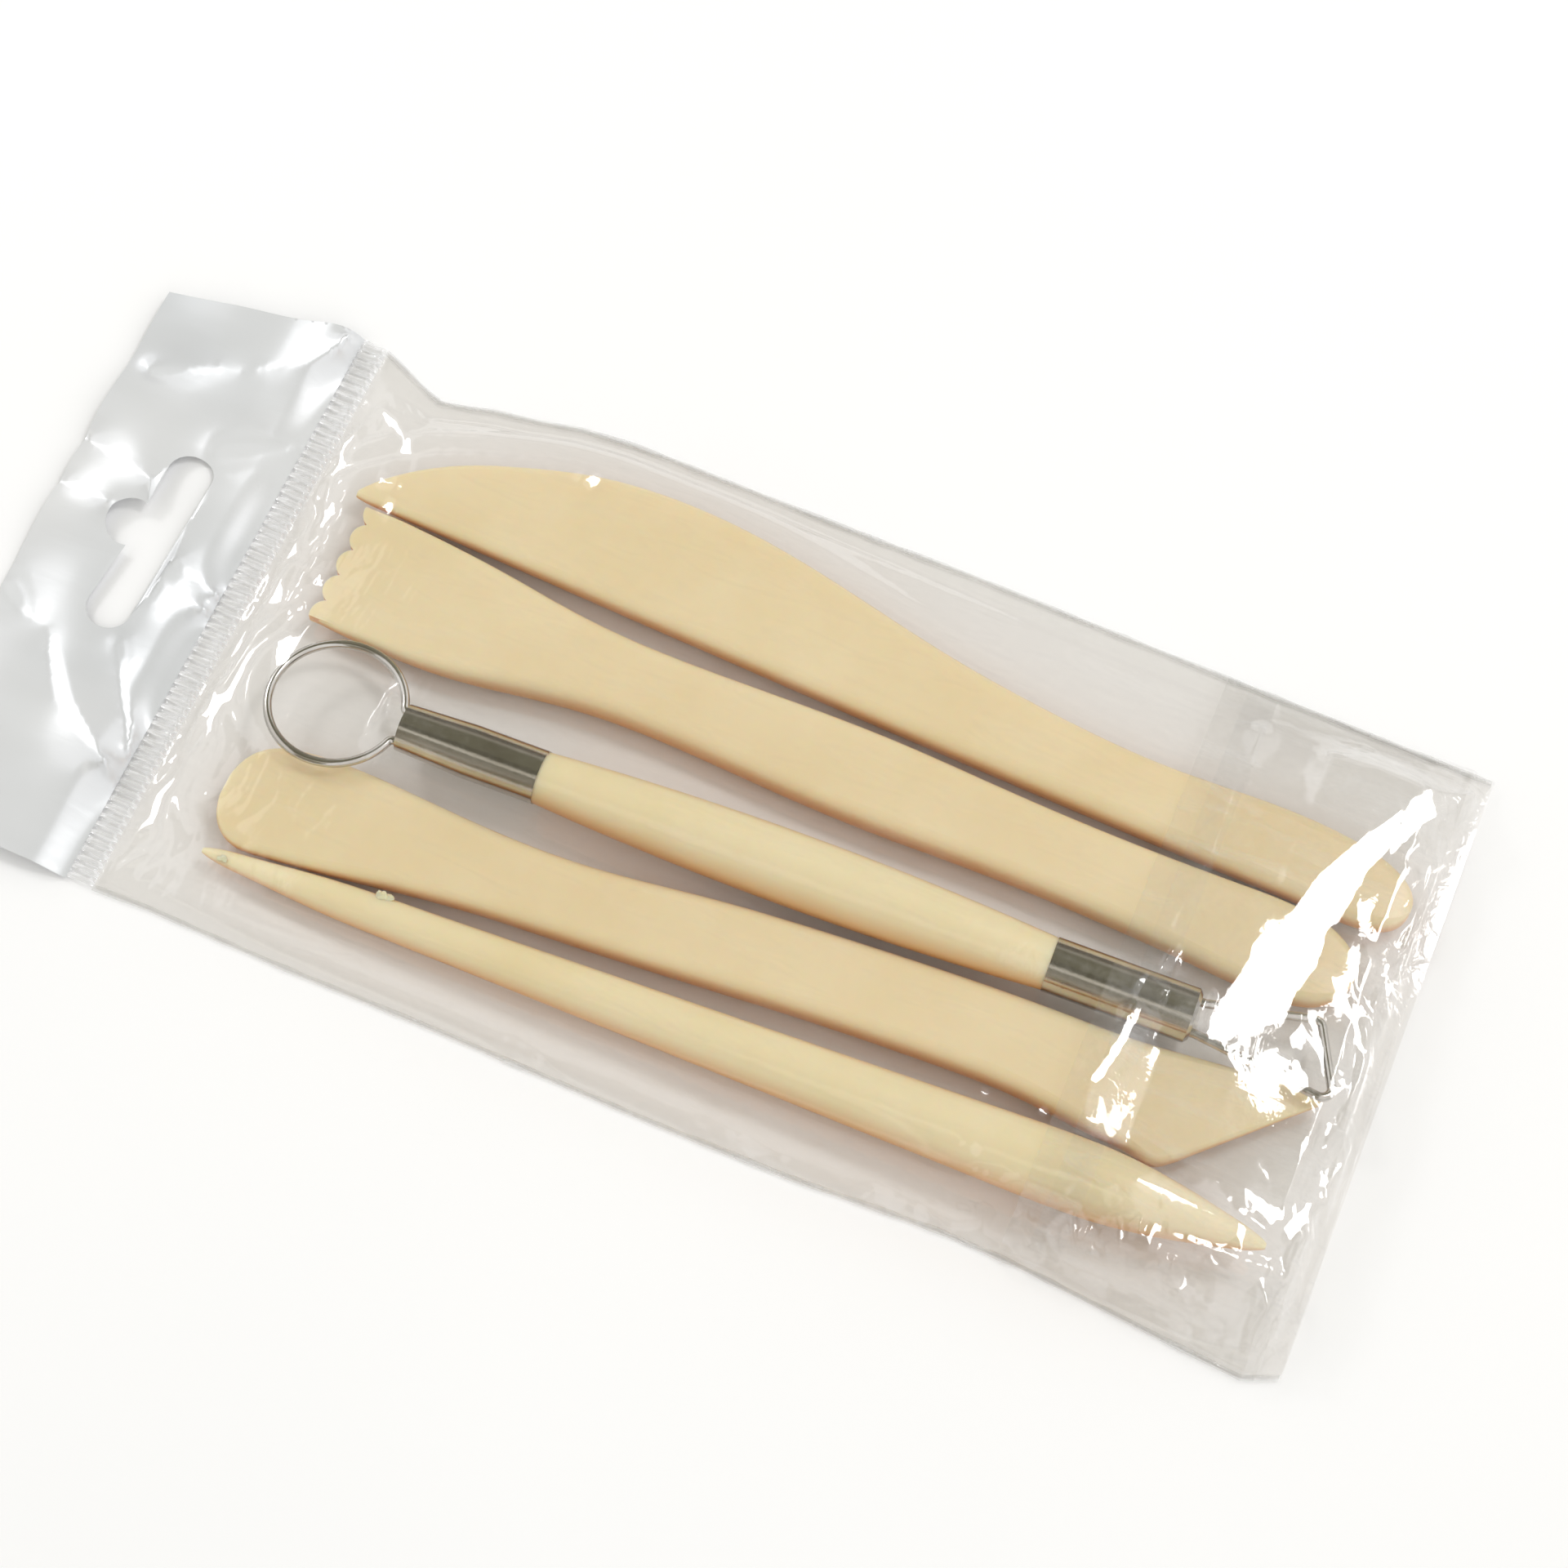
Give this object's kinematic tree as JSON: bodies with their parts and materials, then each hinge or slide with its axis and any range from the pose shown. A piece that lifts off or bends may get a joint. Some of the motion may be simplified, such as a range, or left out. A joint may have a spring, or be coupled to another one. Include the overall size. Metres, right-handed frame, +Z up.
{
  "type": "clay shaping tool set",
  "caption": "Flat and round plastic clay shaping tools and a wire loop tool lying in a clear pouch with a closing flap and a hanging header.",
  "frame": {"origin": "bottom centre of the whole object, on the surface that the pouch lies on", "axes": "+X along the pouch from the hanging header to the mouth, +Y across it, +Z up out of the rear film"},
  "size_m": [0.1932, 0.0874, 0.0118],
  "materials": {
    "ivory_plastic": "satin moulded plastic, cream",
    "chromed_metal": "bright plated tube and wire",
    "clear_film": "clear glossy film",
    "pearl_film": "pearl white glossy film",
    "adhesive_tape": "frosted clear tape",
    "plug_resin": "cast filler"
  },
  "bodies": {
    "pouch": {"rear_film": "clear_film", "front_film": "clear_film", "side_seam_near": "clear_film", "side_seam_far": "clear_film", "header_seal": "clear_film"},
    "header": {"hanging_header": "pearl_film"},
    "fold": {"mouth_fold": "clear_film"},
    "flap": {"closure_flap": "clear_film", "adhesive_tape": "adhesive_tape"},
    "knife": {"knife_tool": "ivory_plastic"},
    "toothed": {"toothed_tool": "ivory_plastic"},
    "spatula": {"spatula_tool": "ivory_plastic"},
    "pointed": {"pointed_tool": "ivory_plastic"},
    "loop_tool": {"loop_tool_handle": "ivory_plastic", "ring_ferrule": "chromed_metal", "triangle_ferrule": "chromed_metal", "ring_loop": "chromed_metal", "triangle_loop": "chromed_metal", "ring_wire_plug": "plug_resin", "triangle_wire_plug": "plug_resin"}
  },
  "joints": [
    {"name": "header_bend", "type": "hinge", "parent": "pouch", "child": "header", "pos_m": [-0.0703, 0, 0.0002], "axis": [0, 1, 0], "range_deg": [0, 110]},
    {"name": "mouth_opening", "type": "hinge", "parent": "pouch", "child": "fold", "pos_m": [0.0962, 0, 0.0004], "axis": [0, 1, 0], "range_deg": [0, 100]},
    {"name": "flap_opening", "type": "hinge", "parent": "fold", "child": "flap", "pos_m": [0.0937, 0, 0.0116], "axis": [0, 1, 0], "range_deg": [0, 78]},
    {"name": "knife_slide", "type": "slide", "parent": "pouch", "child": "knife", "axis": [1, 0, 0], "range_m": [-0.003, 0.001]},
    {"name": "toothed_slide", "type": "slide", "parent": "pouch", "child": "toothed", "axis": [1, 0, 0], "range_m": [-0.003, 0.0015]},
    {"name": "loop_tool_slide", "type": "slide", "parent": "pouch", "child": "loop_tool", "axis": [0.9993, 0.0366, 0], "range_m": [-0.0025, 0.001]},
    {"name": "spatula_slide", "type": "slide", "parent": "pouch", "child": "spatula", "axis": [1, 0, 0], "range_m": [-0.0035, 0.001]},
    {"name": "pointed_slide", "type": "slide", "parent": "pouch", "child": "pointed", "axis": [0.9996, 0.0297, 0], "range_m": [-0.002, 0.002]}
  ],
  "couplings": [
    {"joint": "flap_opening", "follows": "mouth_opening", "ratio": 0.78}
  ]
}
